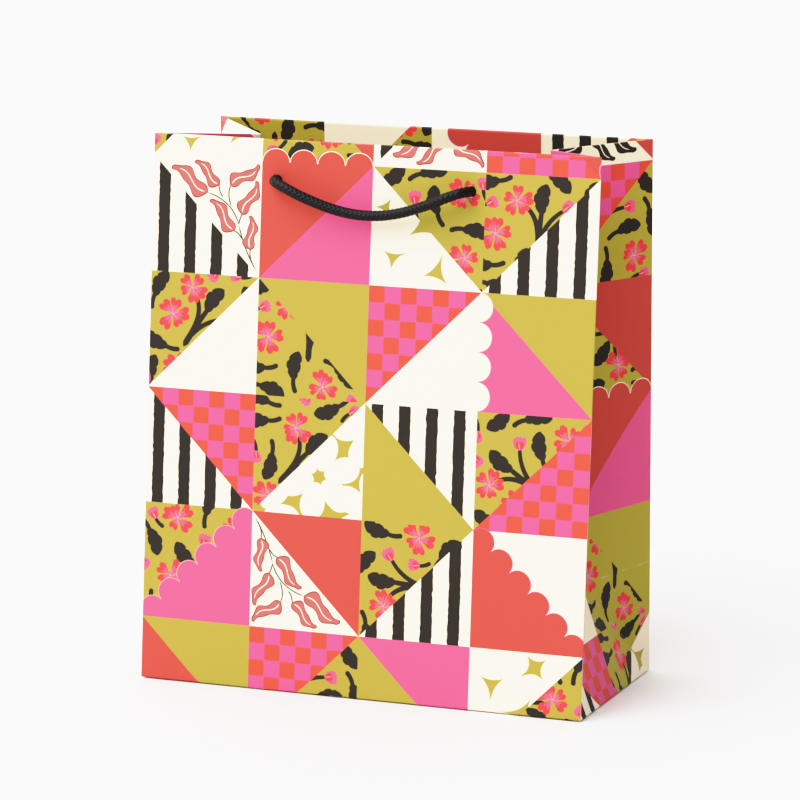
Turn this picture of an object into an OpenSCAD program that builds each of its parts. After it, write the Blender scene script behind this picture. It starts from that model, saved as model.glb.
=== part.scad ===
// Paper gift bag with rope handles. One printed sheet, folded along creases into a front, a rear,
// two pushed-in gussets and a block bottom, with a turned-in top over two stiffening cards,
// a loose base board, and a knotted rope through the front and another through the rear.
// The front faces -Y, +Z is up, and the origin is at the middle of the underside.

/* [Bag] */
// Width of the front and the rear
bag_w = 208; // [180:2:240]
// Depth of the base, from front to rear
bag_d = 104; // [96:2:116]
// Height of the sheet, measured along the front
bag_h = 246; // [220:2:290]
// Angle at which the front and the rear lean inwards
lean = 3.2; // [2.4:0.1:3.6]
// Thickness of the paper
paper_t = 0.3; // [0.2:0.05:0.4]

/* [Top] */
// Depth of the turned-in hem
hem_h = 38; // [32:1:44]
// Height of the stiffening cards inside the hem
card_h = 34; // [28:1:36]
// Thickness of the stiffening cards
card_t = 1; // [0.6:0.1:1.2]

/* [Base] */
// Overlap of the two long flaps of the base
flap_overlap = 24; // [16:2:36]
// Thickness of the loose base board
board_t = 1.2; // [0.8:0.1:1.6]
// Gap left around the base board
board_gap = 3; // [2.5:0.5:5]

/* [Handles] */
// Thickness of the rope
rope_d = 4.6; // [3.6:0.1:5]
// Distance between the two holes of a handle
hole_spacing = 90; // [84:2:104]
// Distance from the top edge down to the middle of a hole
hole_drop = 18; // [16:1:22]
// Diameter of a punched hole
hole_d = 5.4; // [5.2:0.1:6]
// Diameter of a knot
knot_d = 11; // [10:0.5:13]

/* [Hidden] */

olive = [0.83, 0.77, 0.35];
pink = [1, 0.44, 0.68];
coral = [0.91, 0.33, 0.31];
cream = [0.99, 0.97, 0.92];
black = [0.05, 0.05, 0.06];

half = bag_d / 2;
// Gap between layers that lie on each other, and the strip left clear at a crease
layer_gap = 0.05;
crease_gap = 0.5;
// Where the stack of panel, card and hem begins, in from a corner of the mouth
corner_gap = 4;
card_depth = paper_t + layer_gap;
hem_depth = card_depth + card_t + layer_gap;
hem_inside = hem_depth + paper_t;
base_layer = paper_t + layer_gap;
board_z = 3 * base_layer;
hole_x = hole_spacing / 2;
hole_s = bag_h - hole_drop;

// Creases of the right gusset. Each point is given by its height s along the sheet.
function front_edge(s) = [bag_w / 2, -half + s * sin(lean), s * cos(lean)];
apex_z = half * tan(45 - lean / 2);
apex_in = sqrt(half * half - apex_z * apex_z);
crease_drop = half * cos(lean) - apex_z;
function mid_crease(s) = [
    bag_w / 2 - sqrt(pow(half, 2) - pow(half - s * sin(lean), 2) - pow(crease_drop, 2)),
    0,
    s * cos(lean) - crease_drop
];
apex = [bag_w / 2 - apex_in, 0, apex_z];

function unit(v) = v / norm(v);

// A closed solid through rings of points, each ring in the same order
module loft(rings) {
    n = len(rings[0]);
    last = len(rings) - 1;
    polyhedron(
        points = [for (ring = rings) each ring],
        faces = concat(
            [[for (j = [0:n - 1]) j]],
            [for (i = [0:last - 1], j = [0:n - 1]) let (k = (j + 1) % n, a = i * n, b = a + n)
                each [[a + j, b + j, b + k], [a + j, b + k, a + k]]],
            [[for (j = [n - 1:-1:0]) last * n + j]]
        )
    );
}

// Places on the gusset that its layers share, so that they lie flat on each other: heights s up
// the sheet, and distances u in from the front edge
seam_top = bag_h - hem_h - 1;
seam_u = [corner_gap, 16];
below_hem = [for (i = [0:8]) half + crease_gap + (seam_top - half - crease_gap) * i / 8];
beside_hem = [for (i = [0:3]) bag_h - hem_h + hem_h * i / 3];
middle_u = half - 0.05;

// A thin plate on the front half of the right gusset, lying depth inside the outer face. It goes
// through every pair of the heights and distances, with the same diagonals on both of its faces.
module gusset_plate(heights, distances, depth, t) {
    n = len(distances);
    count = len(heights) * n;
    top = len(heights) - 1;
    function at(s, u, d) =
        let (a = front_edge(s), along = unit(mid_crease(s) - a))
        a + along * u + unit([-along.y, along.x, 0]) * d;
    function strip(edge) = [
        for (i = [1:len(edge) - 1]) let (p = edge[i - 1], q = edge[i])
            each [[p, q, q + count], [p, q + count, p + count]]
    ];
    polyhedron(
        points = [for (d = [depth, depth + t], s = heights, u = distances) at(s, u, d)],
        faces = concat(
            [for (i = [0:top - 1], j = [0:n - 2]) let (a = i * n + j, b = a + n)
                each [[a, b, b + 1], [a, b + 1, a + 1]]],
            [for (i = [0:top - 1], j = [0:n - 2]) let (a = count + i * n + j, b = a + n)
                each [[a, b + 1, b], [a, a + 1, b + 1]]],
            strip([for (j = [0:n - 1]) j]),
            strip([for (i = [0:top]) i * n + n - 1]),
            strip([for (j = [n - 1:-1:0]) top * n + j]),
            strip([for (i = [top:-1:0]) i * n])
        )
    );
}

// A triangular plate between three creases, with its edges drawn in by the crease gap
module facet(p, q, r) {
    a = norm(q - r);
    b = norm(r - p);
    c = norm(p - q);
    middle = (a * p + b * q + c * r) / (a + b + c);
    normal = cross(q - p, r - p);
    inner_radius = norm(normal) / (a + b + c);
    outer = [for (v = [p, q, r]) middle + (v - middle) * (1 - crease_gap / inner_radius)];
    loft([outer, [for (v = outer) v + unit(normal) * paper_t]]);
}

// Puts a flat shape on the front: x across, y up the sheet, depth inside the outer face
module on_front(depth, t) {
    translate([0, -half, 0]) rotate([90 - lean, 0, 0]) translate([0, 0, -depth - t])
        linear_extrude(t) children();
}

module holes() {
    for (x = [-hole_x, hole_x]) translate([x, hole_s]) circle(d = hole_d, $fn = 48);
}

module rear() {
    mirror([0, 1, 0]) children();
}

module left() {
    mirror([1, 0, 0]) children();
}

// The outer panels
module panel() {
    on_front(0, paper_t) difference() {
        translate([-bag_w / 2, base_layer]) square([bag_w, bag_h - base_layer]);
        holes();
    }
}

module front_panel() color(olive) panel();
module rear_panel() color(pink) rear() panel();

// The gussets, folded inwards along a middle crease
module gusset_half() {
    gusset_plate(
        concat(below_hem, beside_hem), concat([2 * crease_gap], seam_u, [middle_u]), 0, paper_t
    );
}

module right_gusset_front() color(coral) gusset_half();
module right_gusset_rear() color(coral) rear() gusset_half();
module left_gusset_front() color(cream) left() gusset_half();
module left_gusset_rear() color(cream) left() rear() gusset_half();

// The lowest part of a gusset, below the creases that run up from the corners of the base
module gusset_foot() {
    translate([bag_w / 2, 0, 0]) rotate([0, -asin(apex_in / half), 0]) rotate([90, 0, 90])
        translate([0, 0, -paper_t]) linear_extrude(paper_t)
            polygon([[2 - half, base_layer], [half - 2, base_layer], [0, half - 1]]);
}

module right_gusset_foot() color(olive) gusset_foot();
module left_gusset_foot() color(olive) left() gusset_foot();

module corner() {
    facet(front_edge(0), front_edge(half), apex);
}

module right_front_corner() color(pink) corner();
module right_rear_corner() color(pink) rear() corner();
module left_front_corner() color(pink) left() corner();
module left_rear_corner() color(pink) left() rear() corner();

// The block bottom: two long flaps with mitred ends under two side flaps
module long_flap(level) {
    reach = half + flap_overlap / 2;
    // A flap above another starts inside the panel it is folded from
    start = level * (base_layer + layer_gap);
    translate([0, -half, level * base_layer]) linear_extrude(paper_t)
        polygon([
            [start - bag_w / 2, start], [bag_w / 2 - start, start],
            [bag_w / 2 - reach, reach], [reach - bag_w / 2, reach]
        ]);
}

module side_flap() {
    inset = 2 * crease_gap;
    translate([bag_w / 2 - half, inset - half, 2 * base_layer]) linear_extrude(paper_t)
        square([half - inset, bag_d - 2 * inset]);
}

module front_base_flap() color(olive) long_flap(0);
module rear_base_flap() color(cream) rear() long_flap(1);
module right_base_flap() color(cream) side_flap();
module left_base_flap() color(cream) left() side_flap();

// The glued seam, inside the rear half of the left gusset
module side_seam_flap() {
    color(cream) left() rear() gusset_plate(below_hem, seam_u, card_depth, paper_t);
}

// The turned-in top: a hem with a fold over the edge of the card, and the card inside it
module hem() {
    w = bag_w - 2 * corner_gap;
    on_front(hem_depth, paper_t) difference() {
        translate([-w / 2, bag_h - hem_h]) square([w, hem_h]);
        holes();
    }
    on_front(card_depth, hem_inside - card_depth)
        translate([-w / 2, bag_h - paper_t]) square([w, paper_t]);
}

module card() {
    w = bag_w - 2 * corner_gap;
    on_front(card_depth, card_t) difference() {
        translate([-w / 2, bag_h - card_h - paper_t - layer_gap]) square([w, card_h]);
        holes();
    }
}

module gusset_hem() {
    gusset_plate(beside_hem, concat(seam_u, [middle_u]), card_depth, paper_t);
}

module front_hem() color(cream) hem();
module rear_hem() color(cream) rear() hem();
module right_front_hem() color(cream) gusset_hem();
module right_rear_hem() color(cream) rear() gusset_hem();
module left_front_hem() color(cream) left() gusset_hem();
module left_rear_hem() color(cream) left() rear() gusset_hem();
module front_card() color([0.82, 0.8, 0.76]) card();
module rear_card() color([0.82, 0.8, 0.76]) rear() card();

// The loose board that lies on the flaps of the base
module base_board() {
    color([0.9, 0.89, 0.86]) translate([board_gap - bag_w / 2, board_gap - half, board_z])
        cube([bag_w - 2 * board_gap, bag_d - 2 * board_gap, board_t]);
}

// The rope's route, from one hole: across from the hole, up the sheet, and out from the front.
// The loop hangs in front, and each end goes through its hole and hangs inside.
LOOP = [
    [-5, -1.5, 8.4], [-9, -3.1, 9.2], [-14, -5.3, 9.2], [-20, -7.6, 8.6], [-28, -10.2, 7.8],
    [-36.5, -12, 7.2]
];
LOOP_MIDDLE = [-12.6, 7];
END = [
    [-5, -1.5, 8.4], [-2.4, -0.5, 7.2], [-0.6, -0.1, 4.4], [0, 0, 1], [0, 0, -3],
    [0.2, -0.8, -6.8], [0.5, -3.4, -10], [0.8, -7.4, -12], [1, -14, -12.8], [1, -26, -13.5],
    [0.8, -42, -14.4], [1.2, -58, -15.4], [1.5, -72, -16.2]
];
KNOT = END[len(END) - 1];

// A point of the route, on the right of the front
function on_route(p) = [
    hole_x + p.x,
    -half + (hole_s + p.y) * sin(lean) - p.z * cos(lean),
    (hole_s + p.y) * cos(lean) + p.z * sin(lean)
];
function flip(p) = [-p.x, p.y, p.z];

// The rope's direction at point i: first and last are given, the others follow their neighbours
function heading(path, i, first, last) =
    i == 0 ? first : i == len(path) - 1 ? last : unit(path[i + 1] - path[i - 1]);
function square_to(v, d) = unit(v - d * (v * d));
function ring(p, d, n, r) = let (m = cross(d, n)) [
    for (j = [0:9]) p + r * (n * cos(36 * j) - m * sin(36 * j))
];

// A tube along a path, with each ring turned as little as the path allows
module tube(path, first, last) {
    start = square_to([0.2, 0.3, 1], first);
    loft([
        for (
            i = 0, n = start;
            i < len(path);
            i = i + 1, n = i < len(path) ? square_to(n, heading(path, i, first, last)) : n
        )
        ring(path[i], heading(path, i, first, last), n, rope_d / 2)
    ]);
}

module handle() {
    // The loop stops just short of the rope's fixed ends, so that it can swing clear of them
    short = [0.3, 0, 0];
    right_side = [for (i = [0:len(LOOP) - 1]) on_route(i == 0 ? LOOP[i] - short : LOOP[i])];
    middle = on_route([-hole_x, LOOP_MIDDLE[0], LOOP_MIDDLE[1]]);
    left_side = [for (i = [len(LOOP) - 1:-1:0]) flip(right_side[i])];
    tube(concat(right_side, [middle], left_side), [-1, 0, 0], [-1, 0, 0]);
}

module rope_end() {
    tube([for (p = END) on_route(p)], [1, 0, 0], [0, 0, -1]);
}

module knot() {
    translate(on_route(KNOT)) {
        difference() {
            translate([0, 0, -0.42 * knot_d]) sphere(d = knot_d, $fn = 32);
            translate([-knot_d, -knot_d, 0]) cube(2 * knot_d);
        }
        translate([0, 0, -knot_d - 4]) cylinder(d = rope_d, h = 6, $fn = 32);
    }
}

module front_handle() color(black) handle();
module front_right_rope_end() color(black) rope_end();
module front_left_rope_end() color(black) left() rope_end();
module front_right_knot() color(black) knot();
module front_left_knot() color(black) left() knot();
module rear_handle() color(black) rear() handle();
module rear_right_rope_end() color(black) rear() rope_end();
module rear_left_rope_end() color(black) left() rear() rope_end();
module rear_right_knot() color(black) rear() knot();
module rear_left_knot() color(black) left() rear() knot();

front_panel();
rear_panel();
left_gusset_front();
left_gusset_rear();
right_gusset_front();
right_gusset_rear();
left_gusset_foot();
right_gusset_foot();
left_front_corner();
left_rear_corner();
right_front_corner();
right_rear_corner();
front_base_flap();
rear_base_flap();
left_base_flap();
right_base_flap();
side_seam_flap();
front_hem();
rear_hem();
left_front_hem();
left_rear_hem();
right_front_hem();
right_rear_hem();
front_card();
rear_card();
base_board();
front_handle();
front_left_rope_end();
front_right_rope_end();
front_left_knot();
front_right_knot();
rear_handle();
rear_left_rope_end();
rear_right_rope_end();
rear_left_knot();
rear_right_knot();
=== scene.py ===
"""Looks of the paper gift bag: one printed sheet folded round the frame, its hems, base and ropes.

The flat sheet has two coordinates in millimetres: u runs round the bag from the front left corner,
and s runs up from the crease at the base. The print is laid out on the flat sheet in squares, cut
into triangles along its edges, and then folded: every paper piece is a part of the same fold.
"""

from functools import partial
from math import atan2, cos, hypot, pi, radians, sin, tan

import bpy
import numpy as np
from mathutils import Matrix, Vector
from mathutils.geometry import delaunay_2d_cdt


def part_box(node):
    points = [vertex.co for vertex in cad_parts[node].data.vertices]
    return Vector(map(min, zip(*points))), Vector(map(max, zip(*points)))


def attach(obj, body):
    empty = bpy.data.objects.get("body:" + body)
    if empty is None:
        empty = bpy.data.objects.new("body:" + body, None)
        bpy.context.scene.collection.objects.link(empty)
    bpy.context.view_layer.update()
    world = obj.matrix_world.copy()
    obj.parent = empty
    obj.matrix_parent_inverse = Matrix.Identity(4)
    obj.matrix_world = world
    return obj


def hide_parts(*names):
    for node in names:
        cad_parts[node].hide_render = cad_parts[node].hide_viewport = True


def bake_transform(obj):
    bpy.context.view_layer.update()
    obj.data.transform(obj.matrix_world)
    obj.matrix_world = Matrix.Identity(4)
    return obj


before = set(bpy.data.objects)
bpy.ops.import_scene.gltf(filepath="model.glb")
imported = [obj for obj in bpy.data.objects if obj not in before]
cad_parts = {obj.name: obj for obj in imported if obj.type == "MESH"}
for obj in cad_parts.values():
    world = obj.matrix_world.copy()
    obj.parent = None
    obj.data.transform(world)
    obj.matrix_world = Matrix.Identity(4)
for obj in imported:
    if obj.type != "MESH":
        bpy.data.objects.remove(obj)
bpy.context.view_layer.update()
MM = 0.001

# Sizes in millimetres: the front is W wide and H high along the sheet, and leans inwards by LEAN.
# The base is D deep, R is half of that, and TURN is half of the way round the bag
PAPER = 0.3
PANEL_LOW, PANEL_HIGH = (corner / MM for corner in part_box("front_panel"))
W = PANEL_HIGH.x - PANEL_LOW.x
R = -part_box("front_base_flap")[0].y / MM
D = 2 * R
RISE = PANEL_HIGH.z
RUN = PANEL_HIGH.y + R - PAPER
H = hypot(RISE, RUN)
LEAN = atan2(RUN, RISE)
TURN = W + D
SQUARE = W / 4

# The turned-in top: the stack of panel, card and hem, and where the rope passes through it.
# Without a card, in the gussets, the stack is HEM_STACK thick
CARD = 1.0
CARD_H = 34
HEM_H = 38
STACK = CARD + 2 * PAPER + 0.1
HEM_STACK = 2 * PAPER + 0.05
HOLE_X = 45
HOLE_S = H - 18
HOLE_R = 2.7
# The base flaps: the height of each layer, how far the front and rear ones reach, and the length
# over which a flap rises to its layer
LAYER = 0.35
FLAP = R + 12
FLAP_RISE = 6
# The crease round the base stands a little above the floor
CREASE_LIFT = 0.65
CREASE_REACH = 7
# The panels' slight bow outwards, and the uneven sway on top of it with its two wave lengths
BOW = 0.9
SWAY = 0.35
SWAY_ALONG, SWAY_UP = 31, 47
# The folded edge is thin at each corner of the mouth and thickens away from it
CORNER_DEPTH = 0.12
DEPTH_GAIN = 0.4

INKS = {
    "olive": (0.398, 0.324, 0.063),
    "pink": (0.680, 0.106, 0.228),
    "red": (0.515, 0.080, 0.066),
    "cream": (0.870, 0.780, 0.585),
    "black": (0.042, 0.036, 0.032),
    "coral": (0.640, 0.085, 0.060),
    "rose": (0.660, 0.102, 0.245),
    "salmon": (0.480, 0.130, 0.120),
    "russet": (0.210, 0.036, 0.034),
    "blush": (0.800, 0.360, 0.320),
    "flower": (0.680, 0.068, 0.070),
    "petal": (0.680, 0.112, 0.205),
    "worn": (0.860, 0.750, 0.600),
}


# The camera


def add_camera():
    camera = bpy.data.objects.new("camera", bpy.data.cameras.new("camera"))
    bpy.context.scene.collection.objects.link(camera)
    azimuth, elevation, roll = radians(19.87), radians(10.09), radians(0.77)
    distance = 1919
    target = Vector((-1, 2, 126)) * MM
    away = Vector(
        (sin(azimuth) * cos(elevation), -cos(azimuth) * cos(elevation), sin(elevation))
    )
    camera.location = target + away * distance * MM
    turn = (-away).to_track_quat("-Z", "Y").to_matrix().to_4x4()
    camera.matrix_world = (
        Matrix.Translation(camera.location) @ turn @ Matrix.Rotation(roll, 4, "Z")
    )
    camera.data.lens = 192.2
    camera.data.sensor_width = 36
    camera.data.clip_end = 20
    bpy.context.scene.camera = camera


# Materials


def principled(name, color, roughness, specular=0.3):
    material = bpy.data.materials.new(name)
    material.use_nodes = True
    shader = material.node_tree.nodes["Principled BSDF"]
    shader.inputs["Base Color"].default_value = (*color, 1)
    shader.inputs["Roughness"].default_value = roughness
    shader.inputs["Specular IOR Level"].default_value = specular
    return material, material.node_tree, shader


def noise(tree, scale, detail=3):
    where = tree.nodes.new("ShaderNodeTexCoord")
    texture = tree.nodes.new("ShaderNodeTexNoise")
    texture.inputs["Scale"].default_value = scale
    texture.inputs["Detail"].default_value = detail
    tree.links.new(where.outputs["Object"], texture.inputs["Vector"])
    return texture.outputs["Fac"]


def vary_roughness(tree, shader, value, low, high):
    spread = tree.nodes.new("ShaderNodeMapRange")
    spread.inputs["To Min"].default_value = low
    spread.inputs["To Max"].default_value = high
    tree.links.new(value, spread.inputs["Value"])
    tree.links.new(spread.outputs["Result"], shader.inputs["Roughness"])


def add_bump(tree, shader, value, strength, depth):
    bump = tree.nodes.new("ShaderNodeBump")
    bump.inputs["Strength"].default_value = strength
    bump.inputs["Distance"].default_value = depth
    tree.links.new(value, bump.inputs["Height"])
    tree.links.new(bump.outputs["Normal"], shader.inputs["Normal"])


def paper_material(name, color, roughness):
    """Paper with its fibres: fine bumps, and a finish that is a little uneven."""
    material, tree, shader = principled(name, color, roughness, 0.12)
    vary_roughness(tree, shader, noise(tree, 160), roughness - 0.07, roughness + 0.08)
    add_bump(tree, shader, noise(tree, 1100, 4), 0.25, 0.00006)
    return material


def board_material(name, color):
    """Grey or white-lined board: speckled, rough and soft."""
    material, tree, shader = principled(name, color, 0.85, 0.2)
    ramp = tree.nodes.new("ShaderNodeValToRGB")
    ramp.color_ramp.elements[0].color = (*[c * 0.86 for c in color], 1)
    ramp.color_ramp.elements[1].color = (*color, 1)
    tree.links.new(noise(tree, 900, 5), ramp.inputs["Fac"])
    tree.links.new(ramp.outputs["Color"], shader.inputs["Base Color"])
    add_bump(tree, shader, noise(tree, 700, 4), 0.4, 0.0001)
    return material


def rope_material():
    material, tree, shader = principled("rope", (0.006, 0.0055, 0.007), 0.42, 0.34)
    shader.inputs["Sheen Weight"].default_value = 0.02
    shader.inputs["Sheen Roughness"].default_value = 0.45
    vary_roughness(tree, shader, noise(tree, 700), 0.34, 0.52)
    add_bump(tree, shader, noise(tree, 2600, 4), 0.5, 0.00012)
    return material


INK_NAMES = list(INKS)
INK_MATERIALS = [paper_material("ink_" + n, c, 0.58) for n, c in INKS.items()]
PLAIN = paper_material("plain_paper", (0.86, 0.84, 0.80), 0.72)
ROPE = rope_material()


# The fold


def folded(u, s):
    """Where a point of the flat sheet's outer face lies on the bag, with sharp creases."""
    u = np.mod(u, 2 * TURN)
    past_half = u >= TURN
    u = np.where(past_half, u - TURN, u)
    up = np.clip(s, 0, None)
    tucked = np.clip(s, None, 0)
    bow = np.sin(pi * np.clip(u / W, 0, 1)) * np.sin(pi * np.clip(s / H, 0, 1))
    sway = np.sin(u / SWAY_ALONG + 1.9 * past_half) * np.cos(s / SWAY_UP + 0.6)
    sway = sway * np.clip(s / 30, 0, 1)
    x = u - W / 2
    y = -R + up * sin(LEAN) - tucked - BOW * bow - SWAY * sway * np.sqrt(np.clip(bow, 0, 1))
    z = up * cos(LEAN)

    across = np.clip(u - W, 0, D)
    near = np.minimum(across, D - across)
    apex_z = R * tan(pi / 4 - LEAN / 2)
    apex_in = (R * R - apex_z * apex_z) ** 0.5
    drop = R * cos(LEAN) - apex_z
    high = np.maximum(up, R)
    mid_in = np.sqrt(R**2 - (R - high * sin(LEAN)) ** 2 - drop**2)
    share = near / R
    edge_y = -R + high * sin(LEAN)
    upper = (
        W / 2 - mid_in * share,
        edge_y * (1 - share),
        high * cos(LEAN) - drop * share,
    )
    low = np.clip(up, 1e-6, R)
    rise = low / R
    to_crease = np.clip(near / low, 0, 1)
    side_y = -R + low * sin(LEAN)
    corner = (
        W / 2 - apex_in * rise * to_crease,
        side_y + (low - R - side_y) * to_crease,
        low * cos(LEAN) + (apex_z * rise - low * cos(LEAN)) * to_crease,
    )
    foot = (W / 2 - apex_in * rise, near - R, apex_z * rise)
    picks = [up >= R, near <= low]
    gx, gy, gz = (np.select(picks, [a, b], c) for a, b, c in zip(upper, corner, foot))
    gx = gx + tucked
    gy = np.where(across > R, -gy, gy)
    gz = np.where(s < 0, 0, gz)

    on_gusset = u > W
    x = np.where(on_gusset, gx, x)
    y = np.where(on_gusset, gy, y)
    z = np.where(on_gusset, gz, z)
    z = z + CREASE_LIFT * (1 - np.clip(np.abs(s) / CREASE_REACH, 0, 1)) ** 2
    sign = np.where(past_half, -1, 1)
    return np.stack([x * sign, y * sign, z], -1)


# Offsets in millimetres, and weights, for the mean that rounds each crease
STENCIL = [(-0.7, 1 / 9), (-0.35, 2 / 9), (0, 3 / 9), (0.35, 2 / 9), (0.7, 1 / 9)]


def sheet(u, s):
    """The same, with every crease rounded over about a millimetre."""
    total = 0
    for du, wu in STENCIL:
        for ds, ws in STENCIL:
            total = total + wu * ws * folded(u + du, s + ds)
    return total


def outward(place, u, s, step=0.2):
    """The unit normals of a placed sheet on its printed side."""
    along = place(u + step, s) - place(u - step, s)
    up = place(u, s + step) - place(u, s - step)
    normal = np.cross(along, up)
    return normal / np.maximum(np.linalg.norm(normal, axis=-1, keepdims=True), 1e-12)


def stack_depth(u):
    """How far the printed face of the hem lies inside the outer face, all round the mouth."""
    v = np.mod(u, TURN)
    on_panel = v <= W
    to_corner = np.where(on_panel, np.minimum(v, W - v), np.minimum(v - W, TURN - v))
    full = np.where(on_panel, STACK, HEM_STACK)
    return np.minimum(full, CORNER_DEPTH + DEPTH_GAIN * to_corner)


# Where the sheet's top edge is folded, and where the turned-in part ends, measured up the sheet
FOLD_TOP = H + (pi / 4 - 0.5) * STACK
SHEET_TOP = H + (pi / 2 - 1) * STACK + HEM_H


def mouth(u, s):
    """The sheet with its top turned in: up the outside, over the card and down the inside."""
    depth = stack_depth(u)
    start = H - depth / 2
    bend = np.clip((s - start) / (depth / 2), 0, pi)
    below = np.clip(s - start - pi * depth / 2, 0, None)
    at = np.where(s <= start, s, start - below)
    past_card = np.clip((below + depth / 2 - CARD_H - 0.5) / 2, 0, 1)
    slack = np.clip(depth - HEM_STACK, 0, None) * past_card**2 * (3 - 2 * past_card)
    inward = -outward(sheet, u, at)
    up = sheet(u, at + 0.1) - sheet(u, at)
    up = up / np.linalg.norm(up, axis=-1, keepdims=True)
    shift = depth / 2 * (1 - np.cos(bend)) - slack
    lift = depth / 2 * np.sin(bend)
    return sheet(u, at) + inward * shift[..., None] + up * lift[..., None]


def base_flap(level):
    """Places a flap of the base, which rises over the flaps outside it, as it leaves its crease."""

    def place(u, s):
        point = sheet(u, s)
        leave = np.clip(-s / FLAP_RISE, 0, 1)
        point[..., 2] += level * LAYER * leave**2 * (3 - 2 * leave)
        return point

    return place


# Drawing the print: every motif is a list of (layer, ink, outline) in the unit square


def ribbon(points, width, taper=0.4):
    """A stroke along points, narrower towards its last point, with round ends."""
    p = np.array(points, float)
    d = np.gradient(p, axis=0)
    side = np.stack([-d[:, 1], d[:, 0]], 1) / np.linalg.norm(d, axis=1)[:, None]
    t = np.linspace(0, 1, len(p))
    half = width / 2 * (1 - taper * t) * np.clip(1 - np.abs(2 * t - 1) ** 16, 0.05, 1) ** 0.5
    return np.concatenate([p + side * half[:, None], (p - side * half[:, None])[::-1]])


def arc(a, b, c, steps=17):
    """A curved stroke's points from a to c, pulled towards b."""
    t = np.linspace(0, 1, steps)[:, None]
    a, b, c = (np.array(p, float) for p in (a, b, c))
    return a * (1 - t) ** 2 + 2 * b * t * (1 - t) + c * t**2


def turned(points, angle, at):
    """Points turned about the origin and then moved so that the origin comes to at."""
    c, s = cos(angle), sin(angle)
    return np.array(points) @ np.array([[c, s], [-s, c]]) + np.array(at)


def lobed_leaf(at, angle, length, width, steps=41):
    """A blunt leaf with three shallow round lobes along each side, growing from at."""
    t = (1 - np.cos(np.linspace(0, pi, steps))) / 2
    swell = np.sin(pi * t**1.1).clip(0) ** 0.5
    lobes = [1 - 0.24 * (1 - np.abs(np.sin(pi * (2.9 * t + shift)))) ** 2 for shift in (0.08, 0.25)]
    curve = 0.08 * length * np.sin(pi * t)
    top = np.stack([t * length, curve + width / 2 * swell * lobes[0]], 1)
    bottom = np.stack([t * length, curve - width / 2 * swell * lobes[1]], 1)
    return turned(np.concatenate([top[:-1], bottom[:0:-1]]), angle, at)


# A wavy leaf's half width at places along its length
LEAF_AT = [0, 0.04, 0.12, 0.22, 0.34, 0.46, 0.58, 0.70, 0.80, 0.90, 0.97, 1]
LEAF_HALF = [0.0, 0.45, 0.88, 1.0, 0.68, 0.58, 0.86, 0.72, 0.36, 0.26, 0.30, 0.0]


def vein(t, length):
    """How far a wavy leaf's middle winds to the side, at shares t of its length."""
    return 0.07 * length * np.sin(2.2 * pi * t)


def wavy_leaf(at, angle, length, width, grow=0.0, steps=41):
    """A leaf that swells twice along a winding vein, and ends in a small round tip."""
    t = (1 - np.cos(np.linspace(0, pi, steps))) / 2
    half = np.interp(t, LEAF_AT, LEAF_HALF)
    half = np.convolve(np.pad(half, 2, "edge"), [0.1, 0.2, 0.4, 0.2, 0.1], "valid")
    half[[0, -1]] = 0
    half = half * width / 2 + grow * np.minimum(1, 4 * np.sqrt(t * (1 - t)))
    curve = vein(t, length)
    x = -grow + t * (length + 2 * grow)
    top = np.stack([x, curve + half], 1)
    bottom = np.stack([x, curve - half * 0.92], 1)
    return turned(np.concatenate([top[:-1], bottom[:0:-1]]), angle, at)


def leafy(x, y, length, angle):
    """A single leaf on a short thick stem."""
    stem = arc((-0.62, -0.18), (-0.36, 0.04), (0, 0), 15) * length
    place = partial(turned, angle=angle, at=(x, y))
    return [
        (1, "black", ribbon(place(stem), 0.044, 0.15)),
        (1, "black", lobed_leaf(place((-0.2 * length, 0)), angle, length, 0.54 * length)),
    ]


# Outlines of a flower's petal and of the pink heart inside it
TEETH = [
    (0.08, 0.05), (0.40, 0.22), (0.74, 0.44), (0.97, 0.38), (0.98, 0.18), (0.86, 0.05),
    (1.02, -0.06), (0.98, -0.28), (0.70, -0.38), (0.38, -0.18), (0.08, -0.05),
]  # fmt: skip
HEART = [
    (0, 0.06), (0.34, 0.17), (0.66, 0.22), (0.50, 0.04), (0.62, -0.14), (0.32, -0.13), (0, -0.06),
]  # fmt: skip


def flower(x, y, size, angle, rng):
    """Five parted petals with notched tips, a pink heart and light rays."""
    drawn = []
    for k in range(5):
        a = angle + 2 * pi * k / 5 + rng.uniform(-0.22, 0.22)
        reach = size * rng.uniform(0.8, 1.12)
        drawn.append((2, "flower", turned(np.array(TEETH) * reach, a, (x, y))))
        drawn.append((3, "petal", turned(np.array(HEART) * reach, a, (x, y))))
        end = (x + 0.4 * size * cos(a + 0.3), y + 0.4 * size * sin(a + 0.3))
        drawn.append((4, "blush", ribbon(arc((x, y), (x, y), end, 4), size * 0.045)))
    return drawn


# A bud's outline: its cup, then its toothed rim, and the way back to the stem
BUD = [
    (-0.95, 0), (-0.7, -0.62), (0.1, -0.98), (0.75, -0.95),
    (1.05, -0.6), (0.80, -0.35), (1.15, -0.1), (0.86, 0.15), (1.1, 0.45), (0.85, 0.6), (0.7, 0.95),
    (0.0, 0.98), (-0.7, 0.62),
]  # fmt: skip


def bud(x, y, size, angle):
    """A round bud with a toothed rim on a short bent stem."""
    stem = arc((-2.7, -0.7), (-1.6, 0.1), (-0.7, 0), 13) * size
    place = partial(turned, angle=angle, at=(x, y))
    inner = np.array(BUD) * [0.55 * size, 0.6 * size] - (0.28 * size, 0)
    return [
        (1, "black", ribbon(place(stem), 0.038, 0.2)),
        (2, "petal", place(np.array(BUD) * size)),
        (3, "flower", place(inner)),
        (4, "blush", ribbon(place(arc((-0.8, 0), (-0.3, 0), (0.2, 0.2), 4) * size), 0.009)),
    ]


# The three arms of a spray's stem: start, pull, end and width
ARMS = [
    ((-0.62, -0.04), (-0.1, 0.02), (0.14, 0.02), 0.058),
    ((-0.50, -0.02), (0.03, 0.01), (0.17, 0.32), 0.052),
    ((-0.50, -0.02), (-0.02, -0.02), (0.24, -0.36), 0.048),
]


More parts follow.
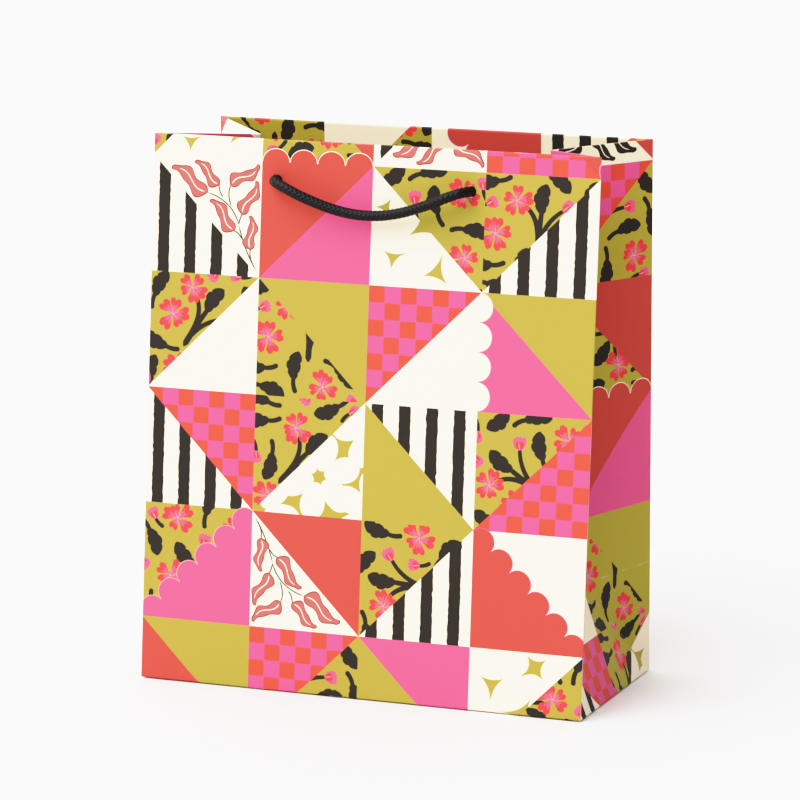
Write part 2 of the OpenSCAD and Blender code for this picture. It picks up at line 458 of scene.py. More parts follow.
def spray(x, y, size, angle, rng):
    """A thick stem that divides in three, for a leaf, a flower and a bud."""
    side = rng.choice([-1, 1])
    drawn = []
    for a, b, c, width in ARMS:
        line = arc(a, b, c) * [size, side * size]
        drawn.append((1, "black", ribbon(turned(line, angle, (x, y)), width, 0.3)))
    ends = np.array([(0.08, 0.02 * side), (0.23, 0.46 * side), (0.28, -0.40 * side)]) * size
    leaf, bloom, small = turned(ends, angle, (x, y))
    drawn.append((1, "black", lobed_leaf(leaf, angle, 0.50 * size, 0.27 * size)))
    drawn += flower(*bloom, 0.26 * size, angle, rng)
    return drawn + bud(*small, 0.06, angle - 0.9 * side)[1:]


# The size of the spray, the tries at a place for each piece round it, and the gap they keep
SPRAY_SIZE = 0.52
TRIES = 50
GAP = 0.028


def floral(seed):
    """A spray, with flowers, leaves and buds scattered round it wherever they fit."""
    rng = np.random.default_rng(seed)
    drawn = spray(*rng.uniform(0.35, 0.65, 2), SPRAY_SIZE, rng.uniform(0, 2 * pi), rng)
    taken = np.concatenate([outline for *_, outline in drawn])
    kinds = [partial(flower, size=0.14, rng=rng)] * 3 + [partial(leafy, length=0.25)] * 8
    kinds += [partial(bud, size=0.054)] * 8
    for kind in kinds:
        for _ in range(TRIES):
            x, y, angle = rng.uniform(0, 1, 3) * [1, 1, 2 * pi]
            piece = kind(x, y, angle=angle)
            points = np.concatenate([outline for *_, outline in piece])[::2]
            if np.hypot(*(points[:, None] - taken).transpose(2, 0, 1)).min() > GAP:
                drawn += piece
                taken = np.concatenate([taken, points])
                break
    return drawn


# The twig: the widths of its stems and veins and of a leaf's outline, its stems in one square, and
# its leaves (x, y, angle, length)
TWIG_WIDTH = 0.011
OUTLINE_WIDTH = 0.007
SPRIG_STEMS = [
    ((0.97, 0.06), (0.86, 0.22), (0.80, 0.44)),
    ((0.80, 0.44), (0.74, 0.64), (0.50, 0.70)),
    ((0.94, 0.11), (0.90, 0.17), (0.915, 0.24)),
    ((0.83, 0.32), (0.80, 0.38), (0.76, 0.38)),
    ((0.80, 0.44), (0.81, 0.50), (0.84, 0.55)),
    ((0.73, 0.585), (0.68, 0.70), (0.72, 0.77)),
    ((0.65, 0.665), (0.61, 0.71), (0.61, 0.77)),
]
SPRIG_LEAVES = [
    (0.915, 0.235, 1.56, 0.28), (0.83, 0.53, 1.10, 0.31), (0.76, 0.39, 2.27, 0.33),
    (0.72, 0.77, 0.58, 0.31), (0.61, 0.77, 2.40, 0.29), (0.50, 0.70, 2.55, 0.38),
]  # fmt: skip


def sprig(ink, outline):
    """A twig of wavy leaves, each with an outline and a pale vein."""
    drawn = [(1, "black", ribbon(arc(*stem, 10), TWIG_WIDTH, 0.1)) for stem in SPRIG_STEMS]
    for x, y, angle, length in SPRIG_LEAVES:
        width = 0.40 * length
        drawn.append((2, outline, wavy_leaf((x, y), angle, length, width, OUTLINE_WIDTH)))
        drawn.append((3, ink, wavy_leaf((x, y), angle, length, width)))
        t = np.linspace(0.05, 0.84, 14)
        line = np.stack([t * length, vein(t, length)], 1)
        drawn.append((4, "cream", ribbon(turned(line, angle, (x, y)), TWIG_WIDTH)))
    return drawn


def star(x, y, size, angle, count):
    """The gap between round petals: a star whose sides are hollow arcs."""
    points = []
    for k in range(count):
        a, b = (angle + 2 * pi * (k + i) / count for i in (0, 1))
        reach = size * (1.3 if k == 0 else 1)
        tip = np.array((reach * cos(a), reach * sin(a)))
        next_tip = np.array((size * cos(b), size * sin(b)))
        points.append(arc(tip, (tip + next_tip) * 0.14, next_tip, 6)[:-1])
    return turned(np.concatenate(points), 0, (x, y))


# The stars of one square: place, size, angle and count of points
STARS = [
    (0.20, 0.24, 0.10, 0.4, 3), (0.60, 0.14, 0.13, 1.3, 3), (0.88, 0.42, 0.12, 2.2, 4),
    (0.47, 0.52, 0.15, 1.6, 3), (0.12, 0.66, 0.09, 5.2, 3), (0.70, 0.80, 0.12, 3.1, 3),
    (0.36, 0.90, 0.10, 4.0, 4),
]  # fmt: skip


def stars():
    return [(1, "olive", star(*spot)) for spot in STARS]


# Centres of the large flowers, with the angle of their first petal
ROSETTES = [
    (0.60, 0.34, 0.3), (0.06, 0.00, 0.9), (1.08, 0.80, 0.1), (1.10, 0.06, 0.6), (0.12, 0.78, 0.4),
]  # fmt: skip


def petals():
    """Large round petals, close together, with the ground between them."""
    middle, half_length, half_width, bulge, count = 0.215, 0.165, 0.110, 0.18, 6
    t = np.linspace(0, 2 * pi, 26, endpoint=False)
    width = half_width * np.sin(t) * (1 + bulge * np.cos(t))
    oval = np.stack([middle + half_length * np.cos(t), width], 1)
    drawn = []
    for x, y, angle in ROSETTES:
        for k in range(count):
            drawn.append((1, "cream", turned(oval, angle + k * pi / 3, (x, y))))
    return drawn


def stripes():
    """Four upright stripes with slightly rough edges."""
    first, spacing, width, roughness = 0.06, 0.245, 0.105, 0.0022
    drawn = []
    rng = np.random.default_rng(4)
    for k in range(4):
        left = first + spacing * k
        y = np.linspace(0, 1, 34)
        rough = rng.normal(0, roughness, (2, len(y)))
        a = np.stack([left + rough[0], y], 1)
        b = np.stack([left + width + rough[1], y], 1)
        drawn.append((1, "black", np.concatenate([a, b[::-1]])))
    return drawn


def checks():
    """Squares with soft corners, one colour on the other."""
    count, inset, soft = 7, 0.002, 0.008
    step = 1 / count
    drawn = []
    for i in range(count):
        for j in range(count):
            if (i + j) % 2:
                continue
            x0, y0 = i * step + inset, j * step + inset
            x1, y1 = (i + 1) * step - inset, (j + 1) * step - inset
            outline = [
                (x0 + soft, y0), (x1 - soft, y0), (x1, y0 + soft), (x1, y1 - soft),
                (x1 - soft, y1), (x0 + soft, y1), (x0, y1 - soft), (x0, y0 + soft),
            ]  # fmt: skip
            drawn.append((1, "coral", np.array(outline)))
    return drawn


# Each fill's ground colour and what is drawn on it
FILLS = {
    "floral": ("olive", floral(4)),
    "meadow": ("olive", floral(6)),
    "garden": ("olive", floral(1)),
    "sprig": ("cream", sprig("salmon", "russet")),
    "dark_sprig": ("cream", sprig("black", "black")),
    "stars": ("cream", stars()),
    "petals": ("olive", petals()),
    "stripes": ("cream", stripes()),
    "checks": ("rose", checks()),
    "olive": ("olive", []),
    "pink": ("pink", []),
    "red": ("red", []),
    "cream": ("cream", []),
}

# The patchwork, row by row from the top: how each square is cut, its left half and its right half
PATCHWORK = [
    [
        ("/", "floral", "stars"), ("\\", "meadow", "red"),
        ("/", "stripes", "sprig"), ("\\", "checks", "red"),
    ],
    [
        ("\\", "stripes", "sprig"), ("/", "red", "pink"),
        ("\\", "stars", "garden"), ("/", "floral", "stripes"),
    ],
    [
        ("/", "garden", "cream"), ("\\", "floral", "olive"),
        ("/", "checks", "cream"), ("\\", "pink", "olive"),
    ],
    [
        ("\\", "stripes", "checks"), ("/", "meadow", "petals"),
        ("\\", "olive", "stripes"), ("/", "garden", "checks"),
    ],
    [
        ("/", "meadow", "pink"), ("\\", "sprig", "red"),
        ("/", "floral", "stripes"), ("\\", "red", "cream"),
    ],
    [
        ("\\", "red", "olive"), ("/", "checks", "garden"),
        ("\\", "olive", "pink"), ("/", "stars", "meadow"),
    ],
]  # fmt: skip
# Fills that are turned another way in each square
SPUN = ("floral", "meadow", "garden", "stars")
# The columns on the gussets, where the twigs are black
GUSSET_COLUMNS = (4, 5, 10, 11)
# The halves of a cut square, each from the corner that it fills
HALVES = {
    "/": (((0, 1), (0, 0), (1, 1)), ((1, 0), (1, 1), (0, 0))),
    "\\": (((0, 0), (1, 0), (0, 1)), ((1, 1), (0, 1), (1, 0))),
}
# Scalloped borders: column and row of the square, its two ends, arcs, ink and outline
SCALLOPS = [
    (1, 1, (0, 1), (1, 1), 4, "red", "cream"),
    (2, 2, (1, 1), (1, 0), 4, "cream", "blush"),
    (0, 4, (0, 0), (1, 1), 6, "pink", "blush"),
    (3, 4, (0, 1), (1, 0), 6, "red", "pink"),
]
# How far up the sheet the first line between rows lies, in squares
ROW_LINE = 0.55
# The width of a scalloped border's outline, and how round its arcs are outside and inside it
BORDER = 0.0055
ROUND_OUTSIDE, ROUND_INSIDE = 0.93, 0.914
# The patchwork's columns and rows, the rows it moves up at each repeat, the columns all round the
# bag, and the level of its top row, counted up from the first line
COLUMNS = 4
ROWS = 6
ROWS_UP = 2
COLUMNS_ROUND = 12
TOP_LEVEL = 4


def scallop(a, b, count, ink, outline):
    """Round arcs that bulge to the left of the line from a to b, each with a thin outline."""
    a, b = np.array(a, float), np.array(b, float)
    along = (b - a) / count
    angle = atan2(along[1], along[0])
    radius = hypot(*along) / 2
    drawn = []
    for k in range(count):
        middle = a + along * (k + 0.5)
        outside = (5, outline, radius, ROUND_OUTSIDE)
        within = (6, ink, radius - BORDER, ROUND_INSIDE)
        for layer, name, r, out in (outside, within):
            t = np.linspace(0, pi, 15)
            half = np.stack([r * np.cos(t), r * out * np.sin(t) - 0.01], 1)
            drawn.append((layer, name, turned(half, angle, middle)))
    return drawn


def clip(polygon, window):
    """The part of a polygon inside a convex window whose corners run anticlockwise."""
    points = [tuple(p) for p in polygon]
    for i, (ax, ay) in enumerate(window):
        bx, by = window[(i + 1) % len(window)]
        side = [(bx - ax) * (y - ay) - (by - ay) * (x - ax) for x, y in points]
        kept = []
        for k, (x, y) in enumerate(points):
            px, py = points[k - 1]
            if (side[k] >= 0) != (side[k - 1] >= 0):
                t = side[k - 1] / (side[k - 1] - side[k])
                kept.append((px + (x - px) * t, py + (y - py) * t))
            if side[k] >= 0:
                kept.append((x, y))
        points = kept
        if not points:
            return None
    return np.array(points)


def square_print(column, row):
    """Everything drawn in one square of the endless patchwork, as (layer, ink, outline)."""
    shift, c = divmod(column, COLUMNS)
    r = (row - ROWS_UP * shift) % ROWS
    cut, *fills = PATCHWORK[r][c]
    drawn = []
    for half, fill in zip(HALVES[cut], fills):
        twig = fill == "sprig"
        if twig and column in GUSSET_COLUMNS:
            fill = "dark_sprig"
        ground, motif = FILLS[fill]
        drawn.append((0, ground, np.array(half, float)))
        spin = (c + 2 * r + (half == HALVES[cut][1])) % 4 if fill in SPUN else 0
        for layer, ink, outline in motif:
            moved = turned(outline - 0.5, spin * pi / 2, (0.5, 0.5))
            if twig:
                # The twig is drawn for a half that fills the corner at (1, 1)
                moved = np.where(half[0], moved, 1 - moved)
            cut_out = clip(moved, half)
            if cut_out is not None:
                drawn.append((layer, ink, cut_out))
    for sc, sr, a, b, count, ink, outline in SCALLOPS:
        if (sc, sr) == (c, r):
            drawn += scallop(a, b, count, ink, outline)
    return drawn


# Worn strips along a crease in millimetres: shortest and longest run, width and gap, and the
# length left whole at a crease's end
WORN_RUN = (3, 26)
WORN_WIDTH = (0.05, 0.24)
WORN_GAP = (1, 22)
WORN_END = 8


def worn_creases():
    """Short pale strips where the ink has cracked along the creases, as outlines on the sheet."""
    rng = np.random.default_rng(12)
    creases = [((u, 0), (u, H)) for u in (0, W, TURN, TURN + W, 2 * TURN)]
    for u in (W, TURN + W):
        creases += [((u, 0), (u + R, R)), ((u + D, 0), (u + R, R)), ((u, R), (u + D, R))]
        creases += [((u + R, R), (u + R, H)), ((u, 0), (u + D, 0))]
    creases += [((0, 0), (W, 0)), ((0, H), (2 * TURN, H)), ((TURN, 0), (TURN + W, 0))]
    strips = []
    for a, b in creases:
        a, b = np.array(a, float), np.array(b, float)
        length = np.linalg.norm(b - a)
        at = rng.uniform(0, 6)
        while at < length - WORN_END:
            run = rng.uniform(*WORN_RUN)
            wide = rng.uniform(*WORN_WIDTH)
            t = np.clip(np.array([at, at + run]) / length, 0, 1)
            line = arc(a + (b - a) * t[0], a + (b - a) * t.mean(), a + (b - a) * t[1], 5)
            strips.append(ribbon(line, wide, 0.9))
            at += run + rng.uniform(*WORN_GAP)
    return strips


WORN = worn_creases()


def print_on(window):
    """The print inside a convex window of the sheet, in millimetres, in painting order."""
    us, ss = zip(*window)
    columns = range(int(min(us) // SQUARE) - 1, int(max(us) // SQUARE) + 2)
    levels = range(
        int(np.floor(min(ss) / SQUARE - ROW_LINE)) - 1,
        int(np.floor(max(ss) / SQUARE - ROW_LINE)) + 2,
    )
    drawn = []
    for column in columns:
        for level in levels:
            corner = np.array([column, level + ROW_LINE])
            for layer, ink, outline in square_print(column % COLUMNS_ROUND, TOP_LEVEL - level):
                part = clip((outline + corner) * SQUARE, window)
                if part is not None:
                    drawn.append((layer, ink, part))
    for strip in WORN:
        part = clip(strip, window)
        if part is not None:
            drawn.append((9, "worn", part))
    return sorted(drawn, key=lambda item: item[0])


# Cutting the sheet into pieces


def inside(polygon, points):
    """Which points lie inside a polygon."""
    x, y = points[:, 0], points[:, 1]
    a, b = polygon, np.roll(polygon, -1, 0)
    result = np.zeros(len(points), bool)
    for (ax, ay), (bx, by) in zip(a, b):
        if ay == by:
            continue
        crosses = ((ay > y) != (by > y)) & (x < (bx - ax) * (y - ay) / (by - ay) + ax)
        result ^= crosses
    return result


def triangulate(outlines, lines):
    """Triangles whose edges keep to every closed outline and every open line."""
    points, edges = [], []
    for outline in outlines:
        first = len(points)
        points += [Vector((float(x), float(y))) for x, y in outline]
        edges += [(first + k, first + (k + 1) % len(outline)) for k in range(len(outline))]
    for line in lines:
        first = len(points)
        points += [Vector((float(x), float(y))) for x, y in line]
        edges += [(first + k, first + k + 1) for k in range(len(line) - 1)]
    found = delaunay_2d_cdt(points, edges, [], 0, 1e-4)
    return np.array([tuple(p) for p in found[0]]), np.array(found[2])


def circle(u, s, radius, steps=32):
    t = np.linspace(0, 2 * pi, steps, endpoint=False)
    return np.stack([u + radius * np.cos(t), s + radius * np.sin(t)], 1)


# How far guide lines run up and down, to the left and to the right, all past the sheet's edges
PAST_HEIGHT, PAST_LEFT, PAST_RIGHT = 999, 999, 2999


def grid(window, us, ss):
    """Straight guide lines across a window, so that the paper can bend along them."""
    lines = [[(u, -PAST_HEIGHT), (u, PAST_HEIGHT)] for u in us]
    lines += [[(-PAST_LEFT, s), (PAST_RIGHT, s)] for s in ss]
    cut = [clip_line(line, window) for line in lines]
    return [line for line in cut if line is not None]


def clip_line(line, window):
    """The part of a straight line inside a convex window, or None."""
    (x0, y0), (x1, y1) = line
    t0, t1 = 0.0, 1.0
    for i, (ax, ay) in enumerate(window):
        bx, by = window[(i + 1) % len(window)]
        start = (bx - ax) * (y0 - ay) - (by - ay) * (x0 - ax)
        end = (bx - ax) * (y1 - ay) - (by - ay) * (x1 - ax)
        if start < 0 and end < 0:
            return None
        if start < 0:
            t0 = max(t0, start / (start - end))
        if end < 0:
            t1 = min(t1, start / (start - end))
    if t1 - t0 < 1e-6:
        return None
    return [(x0 + (x1 - x0) * t, y0 + (y1 - y0) * t) for t in (t0, t1)]


def near_creases(low, high, step=13):
    """Guide places from one crease to the next: close together where the paper curves."""
    close = [0.2, 0.4, 0.6, 0.9, 1.4, 2.5, 4.5]
    between = np.linspace(low, high, max(3, int((high - low) / step)))[1:-1]
    edges = [low + c for c in close] + [high - c for c in close]
    middle = [b for b in between if low + 6 < b < high - 6]
    return sorted(edges + middle)


def new_object(name, points, faces, materials, face_materials=None, normals=None):
    mesh = bpy.data.meshes.new(name)
    mesh.from_pydata((np.array(points) * MM).tolist(), [], [list(map(int, f)) for f in faces])
    for material in materials:
        mesh.materials.append(material)
    if face_materials is not None:
        mesh.polygons.foreach_set("material_index", np.array(face_materials, np.int32))
    mesh.polygons.foreach_set("use_smooth", [True] * len(mesh.polygons))
    mesh.update()
    if normals is not None:
        mesh.normals_split_custom_set_from_vertices(np.array(normals).tolist())
    piece = bpy.data.objects.new(name, mesh)
    bpy.context.scene.collection.objects.link(piece)
    return piece


def boundary(triangles):
    """The directed edges that belong to one triangle only."""
    edges = {}
    for a, b, c in triangles.tolist():
        for edge in ((a, b), (b, c), (c, a)):
            if edge[::-1] in edges:
                del edges[edge[::-1]]
            else:
                edges[edge] = True
    return np.array(list(edges))


def paper_piece(name, window, place, lines=(), holes=()):
    """A piece of the sheet: printed outside, plain inside, with white cut edges."""
    drawn = print_on(window)
    outline = np.array(window, float)
    rims = [circle(*hole, HOLE_R) for hole in holes]

    def cut(outlines):
        points, triangles = triangulate([outline, *rims, *outlines], lines)
        middles = points[triangles].mean(1)
        keep = inside(outline, middles)
        for rim in rims:
            keep &= ~inside(rim, middles)
        return points, triangles[keep], middles[keep]

    points, triangles, middles = cut([part for _, _, part in drawn])
    ink = np.zeros(len(triangles), int)
    for _, color, part in drawn:
        low, high = part.min(0), part.max(0)
        box = np.all((middles >= low) & (middles <= high), axis=1)
        chosen = np.flatnonzero(box)
        chosen = chosen[inside(part, middles[chosen])]
        ink[chosen] = INK_NAMES.index(color)
    face = place(points[:, 0], points[:, 1])
    normal = outward(place, points[:, 0], points[:, 1])

    back_points, back_triangles, _ = cut([])
    back_normal = outward(place, back_points[:, 0], back_points[:, 1])
    back = place(back_points[:, 0], back_points[:, 1]) - back_normal * PAPER

    edge = boundary(triangles)
    rim_outer = face[edge]
    rim_inner = rim_outer - normal[edge] * PAPER
    flat = np.cross(rim_outer[:, 1] - rim_outer[:, 0], normal[edge[:, 0]])
    flat /= np.maximum(np.linalg.norm(flat, axis=1, keepdims=True), 1e-9)
    rim = np.stack([rim_outer[:, 0], rim_inner[:, 0], rim_inner[:, 1], rim_outer[:, 1]], 1)

    back_start = len(face)
    rim_start = back_start + len(back)
    vertices = np.concatenate([face, back, rim.reshape(-1, 3)])
    normals = np.concatenate([normal, -back_normal, np.repeat(flat, 4, 0)])
    faces = (
        triangles.tolist()
        + (back_triangles[:, ::-1] + back_start).tolist()
        + (np.arange(4 * len(edge)).reshape(-1, 4) + rim_start).tolist()
    )
    plain = len(INK_NAMES)
    slots = ink.tolist() + [plain] * (len(back_triangles) + len(edge))
    piece = new_object("printed_" + name, vertices, faces, [*INK_MATERIALS, PLAIN], slots, normals)
    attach(piece, "bag")
    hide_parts(name)


def rectangle(u0, u1, s0, s1):
    """A window from u0 to u1 round the bag and from s0 to s1 up the sheet."""
    return [(u0, s0), (u1, s0), (u1, s1), (u0, s1)]


# Guide lines over the fold at the top
FOLD_LINES = [H - STACK / 2 + pi * STACK / 2 * k / 10 for k in range(-2, 13)]
# Each side's first crease and last crease
SIDES = {
    "front": (0, W),
    "right": (W, TURN),
    "rear": (TURN, TURN + W),
    "left": (TURN + W, 2 * TURN),
}


def hem_lines(window, us):
    """Guide lines of a hem: across it, and close together where it comes off the card."""
    across = [H + 4 * k for k in range(1, 8)]
    near_edge = [SHEET_TOP - k for k in (6, 5, 4.4, 3.8, 3.2, 2.6, 2, 1)]
    return grid(window, us, FOLD_LINES + across + near_edge)


def build_panels():
    for side in ("front", "rear"):
        u0, u1 = SIDES[side]
        middle = (u0 + u1) / 2
        holes = [(middle - HOLE_X, HOLE_S), (middle + HOLE_X, HOLE_S)]
        us = near_creases(u0, u1)
        window = rectangle(u0, u1, 0, FOLD_TOP)
        ss = near_creases(0, H - 3) + FOLD_LINES
        paper_piece(side + "_panel", window, mouth, grid(window, us, ss), holes)
        window = rectangle(u0, u1, FOLD_TOP, SHEET_TOP)
        fold_length = (pi / 2 - 1) * STACK
        through = [(u, 2 * H + fold_length - HOLE_S) for u, _ in holes]
        paper_piece(side + "_hem", window, mouth, hem_lines(window, us), through)


def build_gussets():
    for side, halves in (("right", ("front", "rear")), ("left", ("rear", "front"))):
        u0, u1 = SIDES[side]
        middle = (u0 + u1) / 2
        for half, (a, b) in zip(halves, ((u0, middle), (middle, u1))):
            us = near_creases(a, b)
            window = rectangle(a, b, R, FOLD_TOP)
            lines = grid(window, us, near_creases(R, H - 3, 8) + FOLD_LINES)
            paper_piece(f"{side}_gusset_{half}", window, mouth, lines)
            window = rectangle(a, b, FOLD_TOP, SHEET_TOP)
            paper_piece(f"{side}_{half}_hem", window, mouth, hem_lines(window, us))
            corner = a if a == u0 else b
            window = [(corner, 0), (middle, R), (corner, R)]
            if a != u0:
                window = [(corner, 0), (corner, R), (middle, R)]
            lines = grid(window, us, near_creases(0, R)) + diagonals(window, u0)
            paper_piece(f"{side}_{half}_corner", window, sheet, lines)
        window = [(u0, 0), (u1, 0), (middle, R)]
        lines = grid(window, near_creases(u0, u1), near_creases(0, R)) + diagonals(window, u0)
        paper_piece(f"{side}_gusset_foot", window, sheet, lines)


def diagonals(window, u0):
    """Guide lines beside the creases that run up from the corners of the base."""
    past = 9
    lines = []
    for off in (-1.4, -0.9, -0.5, 0.5, 0.9, 1.4):
        lines.append([(u0 + off - past, -past), (u0 + off + R + past, R + past)])
        lines.append([(u0 + D + off + past, -past), (u0 + D + off - R - past, R + past)])
    cut = [clip_line(line, window) for line in lines]
    return [line for line in cut if line is not None]


# Guide lines along a base flap, from its crease inwards
FLAP_LINES = [-0.3, -0.6, -1, -1.5, -3, -4.5, -6, -30]


def build_base():
    for side, level in (("front", 0), ("rear", 1)):
        u0, u1 = SIDES[side]
        window = [(u0, 0), (u0 + FLAP, -FLAP), (u1 - FLAP, -FLAP), (u1, 0)]
        lines = grid(window, near_creases(u0, u1, 20), FLAP_LINES)
        paper_piece(side + "_base_flap", window, base_flap(level), lines)
    for side in ("right", "left"):
        u0, u1 = SIDES[side]
        window = rectangle(u0 + 1, u1 - 1, -R, 0)
        lines = grid(window, near_creases(u0, u1, 20), FLAP_LINES)
        paper_piece(side + "_base_flap", window, base_flap(2), lines)


add_camera()
build_panels()
build_gussets()
build_base()


# The ropes


def smooth_line(points, step):
    """A smooth line through points, as points one step apart."""
    p = np.array(points, float)
    p = np.concatenate([[2 * p[0] - p[1]], p, [2 * p[-1] - p[-2]]])
    fine = []
    for a, b, c, d in zip(p, p[1:], p[2:], p[3:]):
        for t in np.linspace(0, 1, 40, endpoint=False):
            square = (2 * a - 5 * b + 4 * c - d) * t**2
            cube = (3 * b - a - 3 * c + d) * t**3
            fine.append(0.5 * (2 * b + (c - a) * t + square + cube))
    fine = np.array([*fine, p[-2]])
    along = np.concatenate([[0], np.cumsum(np.linalg.norm(np.diff(fine, axis=0), axis=1))])
    count = max(8, round(along[-1] / step))
    at = np.linspace(0, along[-1], count + 1)
    return np.stack([np.interp(at, along, fine[:, k]) for k in range(3)], 1), at


# The rope's radius, its strands each way, and the length in which a strand moves on to the place
# of the next one
ROPE_R = 2.3
STRANDS = 6
PITCH = 2.1
# How far the grooves between strands lie inside the rope's radius, how high a strand stands
# above them, how quickly it falls away across and along itself, and the length of a closed end
GROOVE = 0.50
STRAND_HEIGHT = 0.57
FALL_ACROSS, FALL_ALONG = 1.75, 1.3
CAP_LENGTH = 1.2


def braid(name, points, body, capped=False, step=0.3, around=48):
    """A braided rope along points in millimetres: strands wind both ways and pass over in turn."""
    line, along = smooth_line(points, step)
    heading = np.gradient(line, axis=0)
    heading /= np.linalg.norm(heading, axis=1, keepdims=True)
    side = np.zeros_like(line)
    side[0] = np.cross(heading[0], (0.3, 0.2, 1))
    for k in range(len(line)):
        side[k] = side[max(k - 1, 0)]
        side[k] -= heading[k] * (side[k] @ heading[k])
        side[k] /= np.linalg.norm(side[k])
    other = np.cross(heading, side)
    turn = np.linspace(0, 1, around, endpoint=False)
    a = STRANDS * turn[None, :] + along[:, None] / PITCH
    b = STRANDS * turn[None, :] - along[:, None] / PITCH
    over = (np.floor(a) + np.floor(b)) % 2 == 0
    across = np.where(over, a % 1, b % 1) - 0.5
    length = np.where(over, b % 1, a % 1) - 0.5
    bump = np.sqrt(np.clip(1 - (FALL_ACROSS * across) ** 2, 0, 1)) * (1 - FALL_ALONG * length**2)
    radius = ROPE_R - GROOVE + STRAND_HEIGHT * bump
    if capped:
        radius = radius * np.sqrt(np.clip((along[-1] - along) / CAP_LENGTH, 0.02, 1))[:, None]
    angle = 2 * pi * turn
    cosine, sine = np.cos(angle)[None, :, None], np.sin(angle)[None, :, None]
    ring = cosine * side[:, None] + sine * other[:, None]
    mesh = line[:, None] + ring * radius[..., None]
    rows, count = mesh.shape[:2]
    index = np.arange(rows * count).reshape(rows, count)
    right = np.roll(index, -1, 1)
    faces = np.stack([index[:-1], right[:-1], right[1:], index[1:]], -1).reshape(-1, 4)
    ends = [index[0, ::-1], index[-1]]
    rope = new_object("braided_" + name, mesh.reshape(-1, 3), faces.tolist() + ends, [ROPE])
    if body:
        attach(rope, body)
    return rope, line * MM, along[-1] * MM


# The rope's route from its right hole, as millimetres across, up the sheet and out from it: the
# loop's right half and middle, and the end that hangs inside
LOOP = [
    (0, 0, -1), (0, 0, 1), (-0.6, -0.1, 4.4), (-2.4, -0.5, 7.2), (-5, -1.5, 8.4),
    (-9, -3.1, 9.2), (-14, -5.3, 9.2), (-20, -7.6, 8.6), (-28, -10.2, 7.8), (-36.5, -12, 7.2),
]  # fmt: skip
LOOP_MIDDLE = (-HOLE_X, -12.6, 7)
TAIL = [
    (0, 0, -0.6), (0, 0, -3), (0.2, -0.8, -6.8), (0.5, -3.4, -10), (0.8, -7.4, -12),
    (1, -14, -12.8), (1, -26, -13.5), (0.8, -42, -14.4), (1.2, -58, -15.4), (1.5, -72, -16.2),
]  # fmt: skip


def on_route(p, side, face):
    """A point of the route. side is 1 on the right, and face is 1 on the front."""
    x, up, out = p
    y = -R + (HOLE_S + up) * sin(LEAN) - out * cos(LEAN)
    z = (HOLE_S + up) * cos(LEAN) + out * sin(LEAN)
    return np.array((side * (HOLE_X + x), face * y, z))


def knot_line(top):
    """A tight knot below top: the rope goes round itself, through, and out as a short end."""
    points = [top + (0, 0, 2), top]
    for k in range(1, 12):
        a = 0.6 + k * pi / 5
        reach = 3.1 * min(1, k / 2)
        points.append(top + (reach * cos(a), reach * sin(a), -1.2 - 0.62 * k))
    return points + [top + (0.4, 0.3, -9.5), top + (0, 0, -12), top + (0.2, 0, -14.8)]


def build_ropes():
    for name, face in (("front", 1), ("rear", -1)):
        right = [on_route(p, 1, face) for p in LOOP]
        left = [on_route(p, -1, face) for p in LOOP[::-1]]
        middle = on_route(LOOP_MIDDLE, 1, face)
        loop, line, length = braid(
            name + "_handle", right + [middle] + left, None, step=0.19, around=64
        )
        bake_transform(loop)
        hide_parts(name + "_handle")
        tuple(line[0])  # fmt: skip
        for hand, side in (("left", -1), ("right", 1)):
            tail, line, length = braid(
                f"{name}_{hand}_rope_end", [on_route(p, side, face) for p in TAIL], "bag"
            )
            knot, _, _ = braid(
                f"{name}_{hand}_knot", knot_line(line[-1] / MM), "bag", capped=True
            )
            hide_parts(f"{name}_{hand}_rope_end")
            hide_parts(f"{name}_{hand}_knot")
            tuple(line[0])  # fmt: skip


build_ropes()


# The parts whose frame shapes are already right


def finish_node(name, material):
    """Gives a part of the frame its finish, and leaves its shape alone."""
    node = bpy.data.objects[name]
    node.data.materials.clear()
    node.data.materials.append(material)
    for face in node.data.polygons:
        face.material_index = 0


CARD_MATERIAL = board_material("greyboard", (0.60, 0.57, 0.51))
BOARD_MATERIAL = board_material("lined_board", (0.82, 0.81, 0.78))
finish_node("front_card", CARD_MATERIAL)
finish_node("rear_card", CARD_MATERIAL)
finish_node("base_board", BOARD_MATERIAL)
finish_node("side_seam_flap", PLAIN)


# The stage


def add_sun(name, strength, spread, toward, color):
    light = bpy.data.objects.new(name, bpy.data.lights.new(name, "SUN"))
    light.data.energy = strength
    light.data.angle = radians(spread)
    light.data.color = color
    light.rotation_euler = Vector(toward).to_track_quat("Z", "Y").to_euler()
    bpy.context.scene.collection.objects.link(light)


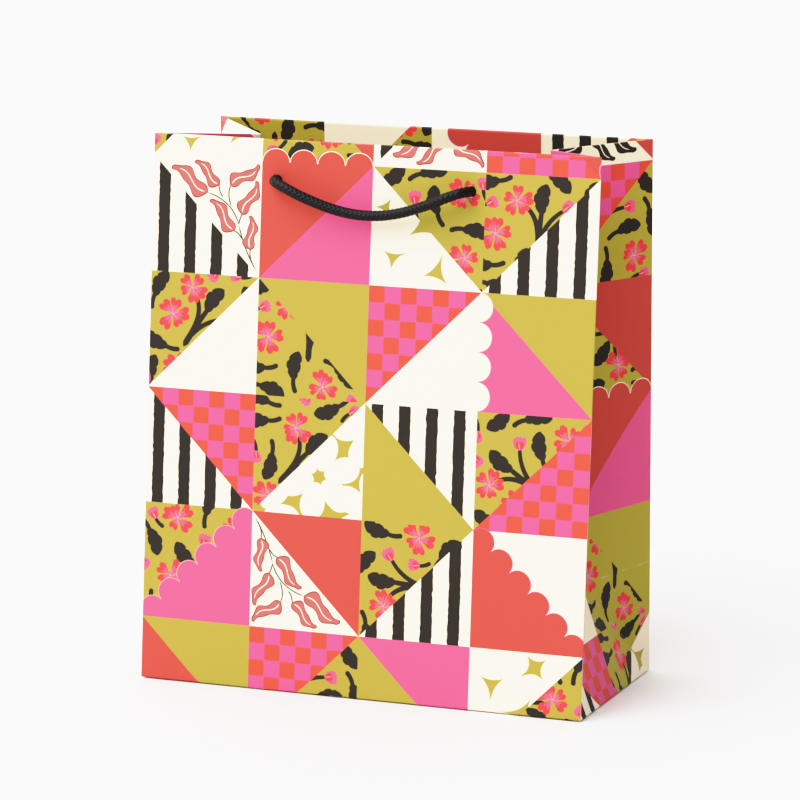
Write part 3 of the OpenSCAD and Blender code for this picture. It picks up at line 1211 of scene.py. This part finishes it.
# The brightest light that the curve covers, and what is shown for each light below it
BRIGHTEST = 1.7
TONES = [(0.03, 0.012), (0.07, 0.041), (0.14, 0.13), (0.5, 0.52), (0.85, 0.84), (1.15, 0.93)]


def build_stage():
    view = bpy.context.scene.view_settings
    view.view_transform = "Standard"
    # A photograph's tones: a little deeper in the shade, and soft at the brightest
    view.use_curve_mapping = True
    view.curve_mapping.white_level = (BRIGHTEST, BRIGHTEST, BRIGHTEST)
    points = view.curve_mapping.curves[3].points
    points[0].location = (0, 0)
    points[1].location = (1, 0.965)
    for light, shown in TONES:
        points.new(light / BRIGHTEST, shown)
    view.curve_mapping.update()
    material, tree, shader = principled("floor", (0.845, 0.835, 0.840), 0.8, 0.1)
    vary_roughness(tree, shader, noise(tree, 6), 0.75, 0.85)
    mesh = bpy.data.meshes.new("floor")
    size = 20
    corners = [(-size, -size, 0), (size, -size, 0), (size, size, 0), (-size, size, 0)]
    mesh.from_pydata(corners, [], [(0, 1, 2, 3)])
    mesh.materials.append(material)
    floor = bpy.data.objects.new("floor", mesh)
    bpy.context.scene.collection.objects.link(floor)

    world = bpy.data.worlds.new("studio")
    world.use_nodes = True
    bpy.context.scene.world = world
    tree = world.node_tree
    background = tree.nodes["Background"]
    background.inputs["Color"].default_value = (1, 0.998, 1, 1)
    # The studio is brighter on the left and behind than on the right
    where = tree.nodes.new("ShaderNodeTexCoord")
    toward = tree.nodes.new("ShaderNodeVectorMath")
    toward.operation = "DOT_PRODUCT"
    toward.inputs[1].default_value = (-0.8, 0.6, 0)
    strength = tree.nodes.new("ShaderNodeMapRange")
    tree.links.new(where.outputs["Generated"], toward.inputs[0])
    tree.links.new(toward.outputs["Value"], strength.inputs["Value"])
    for name, value in (("From Min", -0.8), ("From Max", 0.8), ("To Min", 0.30), ("To Max", 1.74)):
        strength.inputs[name].default_value = value
    tree.links.new(strength.outputs["Result"], background.inputs["Strength"])
    add_sun("key", 2.75, 55, (-0.16, -0.42, 0.45), (1, 0.99, 0.985))


build_stage()
